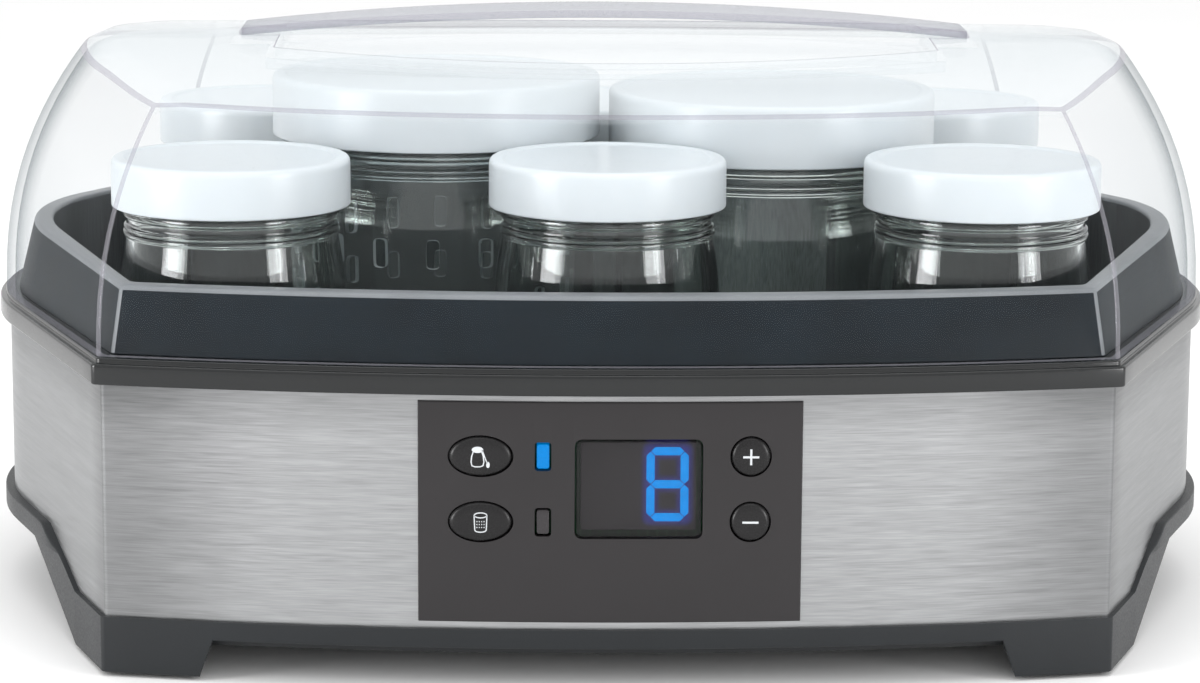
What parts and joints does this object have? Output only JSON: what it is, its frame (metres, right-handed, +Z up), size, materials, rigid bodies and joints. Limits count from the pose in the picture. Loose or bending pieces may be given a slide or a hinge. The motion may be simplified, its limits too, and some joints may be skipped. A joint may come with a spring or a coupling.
{
  "type": "yogurt maker",
  "caption": "Electric yogurt maker: steel-sided heated base with control panel and tub, capped glass jars, a straining basket and a clear lid with an arched handle.",
  "frame": {"origin": "on the floor, under the centre of the base", "axes": "+X to the right seen from the control panel, +Y to the back, +Z up; the control panel faces -Y"},
  "size_m": [0.316, 0.249, 0.1502],
  "materials": {
    "black_plastic": "fine satin texture",
    "rubber": "matt",
    "steel": "fine horizontal brushing",
    "trim_black": "gloss",
    "tub": "satin",
    "clear_plastic": "clear, polished",
    "jar_glass": "clear",
    "cap_white": "semi-gloss",
    "panel": "satin",
    "button": "gloss",
    "window": "smoked, polished",
    "display": "matt",
    "lit_blue": "lit",
    "unlit_lens": "smoked",
    "board": "solder mask",
    "component": "moulded",
    "relay_blue": "moulded",
    "ribbon": "flat cable",
    "aluminium": "rolled",
    "zinc_steel": "plated"
  },
  "bodies": {
    "base": {"base_housing": "black_plastic", "rubber_feet": "rubber", "bottom_cover": "black_plastic", "cover_screws": "zinc_steel", "steel_front": "steel", "steel_back": "steel", "steel_left": "steel", "steel_right": "steel", "trim_ring": "trim_black", "inner_tub": "tub", "panel_fascia": "panel", "display_window": "window", "display_module": "display", "digit_segments": "lit_blue", "upper_indicator": "lit_blue", "lower_indicator": "unlit_lens", "button_switches": "component", "control_board": "board", "board_screws": "zinc_steel", "heating_plate": "aluminium", "heating_element": "aluminium", "element_clips": "aluminium", "temperature_sensor": "component", "thermal_fuse": "component", "power_board": "board", "transformer": "component", "heater_relay": "relay_blue", "power_capacitor": "component", "ribbon_cable": "ribbon", "cord_gland": "black_plastic"},
    "lid": {"lid_cover": "clear_plastic", "lid_handle": "clear_plastic"},
    "strainer": {"strainer_basket": "clear_plastic"},
    "small_jar_1": {"small_jar_1": "jar_glass"},
    "small_jar_2": {"small_jar_2": "jar_glass"},
    "small_jar_3": {"small_jar_3": "jar_glass"},
    "small_jar_4": {"small_jar_4": "jar_glass"},
    "small_jar_5": {"small_jar_5": "jar_glass"},
    "small_jar_6": {"small_jar_6": "jar_glass"},
    "large_jar_left": {"large_jar_left": "jar_glass"},
    "large_jar_right": {"large_jar_right": "jar_glass"},
    "small_cap_1": {"small_cap_1": "cap_white"},
    "small_cap_2": {"small_cap_2": "cap_white"},
    "small_cap_3": {"small_cap_3": "cap_white"},
    "small_cap_4": {"small_cap_4": "cap_white"},
    "small_cap_5": {"small_cap_5": "cap_white"},
    "small_cap_6": {"small_cap_6": "cap_white"},
    "large_cap_left": {"large_cap_left": "cap_white"},
    "large_cap_right": {"large_cap_right": "cap_white"},
    "yogurt_button": {"yogurt_button": "button"},
    "strain_button": {"strain_button": "button"},
    "plus_button": {"plus_button": "button"},
    "minus_button": {"minus_button": "button"}
  },
  "joints": [
    {"name": "lid_lift", "type": "slide", "parent": "base", "child": "lid", "axis": [0, 0, 1], "range_m": [0, 0.12]},
    {"name": "small_jar_1_lift", "type": "slide", "parent": "base", "child": "small_jar_1", "axis": [0, 0, 1], "range_m": [0, 0.002]},
    {"name": "small_jar_2_lift", "type": "slide", "parent": "base", "child": "small_jar_2", "axis": [0, 0, 1], "range_m": [0, 0.012]},
    {"name": "small_jar_3_lift", "type": "slide", "parent": "base", "child": "small_jar_3", "axis": [0, 0, 1], "range_m": [0, 0.002]},
    {"name": "small_jar_4_lift", "type": "slide", "parent": "base", "child": "small_jar_4", "axis": [0, 0, 1], "range_m": [0, 0.002]},
    {"name": "small_jar_5_lift", "type": "slide", "parent": "base", "child": "small_jar_5", "axis": [0, 0, 1], "range_m": [0, 0.012]},
    {"name": "small_jar_6_lift", "type": "slide", "parent": "base", "child": "small_jar_6", "axis": [0, 0, 1], "range_m": [0, 0.002]},
    {"name": "large_jar_left_lift", "type": "slide", "parent": "base", "child": "large_jar_left", "axis": [0, 0, 1], "range_m": [0, 0.003]},
    {"name": "large_jar_right_lift", "type": "slide", "parent": "base", "child": "large_jar_right", "axis": [0, 0, 1], "range_m": [0, 0.006]},
    {"name": "small_cap_1_turn", "type": "hinge", "parent": "small_jar_1", "child": "small_cap_1", "pos_m": [-0.093, -0.0595, 0.11], "axis": [0, 0, 1], "range_deg": [0, 360]},
    {"name": "small_cap_2_turn", "type": "hinge", "parent": "small_jar_2", "child": "small_cap_2", "pos_m": [0, -0.0595, 0.11], "axis": [0, 0, 1], "range_deg": [0, 360]},
    {"name": "small_cap_3_turn", "type": "hinge", "parent": "small_jar_3", "child": "small_cap_3", "pos_m": [0.093, -0.0595, 0.11], "axis": [0, 0, 1], "range_deg": [0, 360]},
    {"name": "small_cap_4_turn", "type": "hinge", "parent": "small_jar_4", "child": "small_cap_4", "pos_m": [-0.093, 0.0595, 0.11], "axis": [0, 0, 1], "range_deg": [0, 360]},
    {"name": "small_cap_5_turn", "type": "hinge", "parent": "small_jar_5", "child": "small_cap_5", "pos_m": [0, 0.0595, 0.11], "axis": [0, 0, 1], "range_deg": [0, 360]},
    {"name": "small_cap_6_turn", "type": "hinge", "parent": "small_jar_6", "child": "small_cap_6", "pos_m": [0.093, 0.0595, 0.11], "axis": [0, 0, 1], "range_deg": [0, 360]},
    {"name": "large_cap_left_turn", "type": "hinge", "parent": "large_jar_left", "child": "large_cap_left", "pos_m": [-0.044, 0, 0.11], "axis": [0, 0, 1], "range_deg": [0, 360]},
    {"name": "large_cap_right_turn", "type": "hinge", "parent": "large_jar_right", "child": "large_cap_right", "pos_m": [0.044, 0, 0.11], "axis": [0, 0, 1], "range_deg": [0, 360]},
    {"name": "strainer_lift", "type": "slide", "parent": "large_jar_left", "child": "strainer", "axis": [0, 0, 1], "range_m": [0, 0.001]},
    {"name": "yogurt_button_press", "type": "slide", "parent": "base", "child": "yogurt_button", "axis": [0, 1, 0], "range_m": [0, 0.0012], "stiffness_N_per_m": 500},
    {"name": "strain_button_press", "type": "slide", "parent": "base", "child": "strain_button", "axis": [0, 1, 0], "range_m": [0, 0.0012], "stiffness_N_per_m": 500},
    {"name": "plus_button_press", "type": "slide", "parent": "base", "child": "plus_button", "axis": [0, 1, 0], "range_m": [0, 0.0012], "stiffness_N_per_m": 500},
    {"name": "minus_button_press", "type": "slide", "parent": "base", "child": "minus_button", "axis": [0, 1, 0], "range_m": [0, 0.0012], "stiffness_N_per_m": 500}
  ]
}
